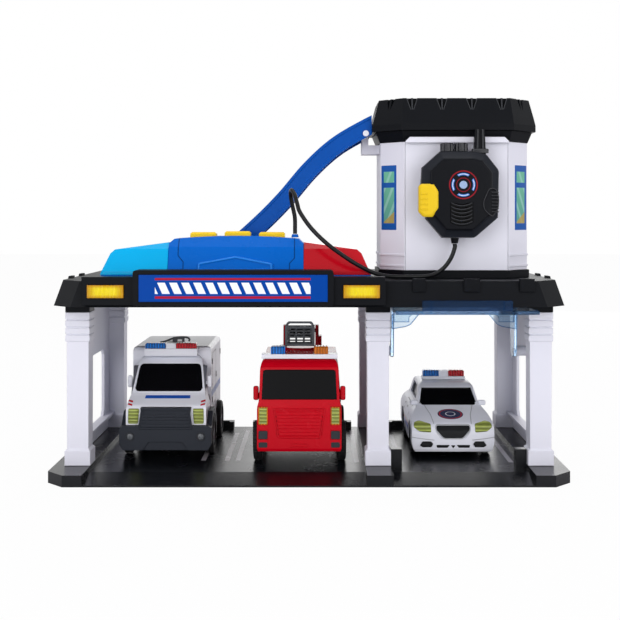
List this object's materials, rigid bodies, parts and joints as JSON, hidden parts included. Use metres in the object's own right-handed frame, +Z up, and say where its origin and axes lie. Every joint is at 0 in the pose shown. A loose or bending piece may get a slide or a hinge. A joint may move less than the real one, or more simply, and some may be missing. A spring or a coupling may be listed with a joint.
{
  "type": "rescue centre playset",
  "caption": "Toy rescue station with bays for vehicles, an upper deck with a sound console, an eight-sided tower with a slide, a corded handset and toy vehicles with turning wheels.",
  "frame": {"origin": "centre of the whole object's box at the level that the tray stands on", "axes": "+Z up, +X along the station to the tower's end, -Y towards the side where the vehicles drive in"},
  "size_m": [0.48, 0.2574, 0.3571],
  "materials": {
    "charcoal": "satin moulded black plastic",
    "wall_white": "satin white plastic with a slight lavender cast",
    "sign_blue": "printed blue sign",
    "amber_lens": "clear amber ribbed plastic",
    "console_blue": "glossy blue plastic",
    "siren_blue": "clear light blue plastic",
    "siren_red": "clear red plastic",
    "button_yellow": "yellow plastic",
    "slide_blue": "glossy blue plastic",
    "door_blue": "clear blue plastic",
    "handset_black": "satin black plastic",
    "cord_black": "flexible black cord",
    "tyre_black": "black plastic wheels on one axle",
    "vehicle_white": "glossy white plastic",
    "vehicle_red": "glossy red plastic",
    "window_dark": "dark glossy plastic",
    "chassis_grey": "dark grey plastic",
    "chassis_black": "black plastic",
    "lamp_blue": "clear blue plastic",
    "lamp_red": "clear red plastic",
    "ladder_grey": "light grey plastic"
  },
  "bodies": {
    "station": {"base_tray": "charcoal", "left_wall": "wall_white", "middle_wall": "wall_white", "right_wall": "wall_white", "deck": "charcoal", "sign_frame": "charcoal", "sign_plate": "sign_blue", "left_amber_lens": "amber_lens", "right_amber_lens": "amber_lens", "console_housing": "console_blue", "blue_siren_lens": "siren_blue", "red_siren_lens": "siren_red", "battery_door": "console_blue", "cord_outlet": "console_blue", "tower_plinth": "charcoal", "tower_shell": "wall_white", "tower_front_panel": "wall_white", "tower_collar": "charcoal", "tower_roof": "charcoal", "slide": "slide_blue", "slide_pin": "wall_white", "handset_clip": "handset_black", "handset_cord": "cord_black"},
    "left_button": {"sound_button_left": "button_yellow"},
    "middle_button": {"sound_button_middle": "button_yellow"},
    "right_button": {"sound_button_right": "button_yellow"},
    "door": {"garage_door": "door_blue"},
    "handset": {"handset_back_shell": "handset_black", "handset_front_shell": "handset_black", "handset_strain_relief": "handset_black"},
    "talk_key": {"talk_button": "button_yellow"},
    "ambulance": {"ambulance_body": "vehicle_white", "ambulance_chassis": "chassis_grey", "ambulance_glazing": "window_dark", "ambulance_roof_hook": "chassis_grey", "ambulance_light_bar": "vehicle_white", "ambulance_blue_lamp": "lamp_blue", "ambulance_red_lamp": "lamp_red"},
    "ambulance_front_axle": {"ambulance_front_wheels": "tyre_black"},
    "ambulance_rear_axle": {"ambulance_rear_wheels": "tyre_black"},
    "fire_engine": {"engine_body": "vehicle_red", "engine_chassis": "chassis_black", "engine_glazing": "window_dark", "engine_light_bar": "vehicle_white", "engine_blue_lamp": "lamp_blue", "engine_amber_lamp": "amber_lens"},
    "engine_front_axle": {"engine_front_wheels": "tyre_black"},
    "engine_rear_axle": {"engine_rear_wheels": "tyre_black"},
    "engine_turntable": {"turntable": "vehicle_red"},
    "engine_ladder": {"ladder": "ladder_grey"},
    "police_car": {"police_body": "vehicle_white", "police_chassis": "chassis_black", "police_glazing": "window_dark", "police_light_bar": "vehicle_white", "police_blue_lamp": "lamp_blue", "police_red_lamp": "lamp_red"},
    "police_front_axle": {"police_front_wheels": "tyre_black"},
    "police_rear_axle": {"police_rear_wheels": "tyre_black"}
  },
  "joints": [
    {"name": "left_button_press", "type": "slide", "parent": "station", "child": "left_button", "axis": [0, 0, -1], "range_m": [0, 0.0025], "stiffness_N_per_m": 200},
    {"name": "middle_button_press", "type": "slide", "parent": "station", "child": "middle_button", "axis": [0, 0, -1], "range_m": [0, 0.0025], "stiffness_N_per_m": 200},
    {"name": "right_button_press", "type": "slide", "parent": "station", "child": "right_button", "axis": [0, 0, -1], "range_m": [0, 0.0025], "stiffness_N_per_m": 200},
    {"name": "garage_door_swing", "type": "hinge", "parent": "station", "child": "door", "pos_m": [0.14115, -0.0245, 0.11245], "axis": [1, 0, 0], "range_deg": [0, 90]},
    {"name": "handset_lift", "type": "slide", "parent": "station", "child": "handset", "axis": [0, 0, 1], "range_m": [0, 0.036]},
    {"name": "talk_button_press", "type": "slide", "parent": "handset", "child": "talk_key", "axis": [1, 0, 0], "range_m": [0, 0.002], "stiffness_N_per_m": 200},
    {"name": "ambulance_roll", "type": "slide", "parent": "station", "child": "ambulance", "axis": [0, -1, 0], "range_m": [0, 0.26]},
    {"name": "ambulance_front_wheels_turn", "type": "hinge", "parent": "ambulance", "child": "ambulance_front_axle", "pos_m": [-0.14071, -0.00265, 0.0263], "axis": [1, 0, 0], "range_deg": [-10, 800]},
    {"name": "ambulance_rear_wheels_turn", "type": "hinge", "parent": "ambulance", "child": "ambulance_rear_axle", "pos_m": [-0.14071, 0.08035, 0.0263], "axis": [1, 0, 0], "range_deg": [-10, 800]},
    {"name": "fire_engine_roll", "type": "slide", "parent": "station", "child": "fire_engine", "axis": [0, -1, 0], "range_m": [0, 0.26]},
    {"name": "engine_front_wheels_turn", "type": "hinge", "parent": "fire_engine", "child": "engine_front_axle", "pos_m": [-0.00956, -0.03275, 0.0263], "axis": [1, 0, 0], "range_deg": [-10, 800]},
    {"name": "engine_rear_wheels_turn", "type": "hinge", "parent": "fire_engine", "child": "engine_rear_axle", "pos_m": [-0.00956, 0.05025, 0.0263], "axis": [1, 0, 0], "range_deg": [-10, 800]},
    {"name": "police_car_roll", "type": "slide", "parent": "station", "child": "police_car", "axis": [0, -1, 0], "range_m": [0, 0.26]},
    {"name": "police_front_wheels_turn", "type": "hinge", "parent": "police_car", "child": "police_front_axle", "pos_m": [0.14115, 0.00025, 0.0223], "axis": [1, 0, 0], "range_deg": [-10, 1009]},
    {"name": "police_rear_wheels_turn", "type": "hinge", "parent": "police_car", "child": "police_rear_axle", "pos_m": [0.14115, 0.08225, 0.0223], "axis": [1, 0, 0], "range_deg": [-10, 1009]},
    {"name": "turntable_swivel", "type": "hinge", "parent": "fire_engine", "child": "engine_turntable", "pos_m": [-0.00956, 0.04475, 0.1042], "axis": [0, 0, 1], "range_deg": [-30, 30]},
    {"name": "ladder_raise", "type": "hinge", "parent": "engine_turntable", "child": "engine_ladder", "pos_m": [-0.00956, 0.04475, 0.1252], "axis": [-1, 0, 0], "range_deg": [0, 20]}
  ],
  "couplings": [
    {"joint": "ambulance_front_wheels_turn", "follows": "ambulance_roll", "rad_per_m": 52.632},
    {"joint": "ambulance_rear_wheels_turn", "follows": "ambulance_roll", "rad_per_m": 52.632},
    {"joint": "engine_front_wheels_turn", "follows": "fire_engine_roll", "rad_per_m": 52.632},
    {"joint": "engine_rear_wheels_turn", "follows": "fire_engine_roll", "rad_per_m": 52.632},
    {"joint": "police_front_wheels_turn", "follows": "police_car_roll", "rad_per_m": 66.667},
    {"joint": "police_rear_wheels_turn", "follows": "police_car_roll", "rad_per_m": 66.667}
  ]
}
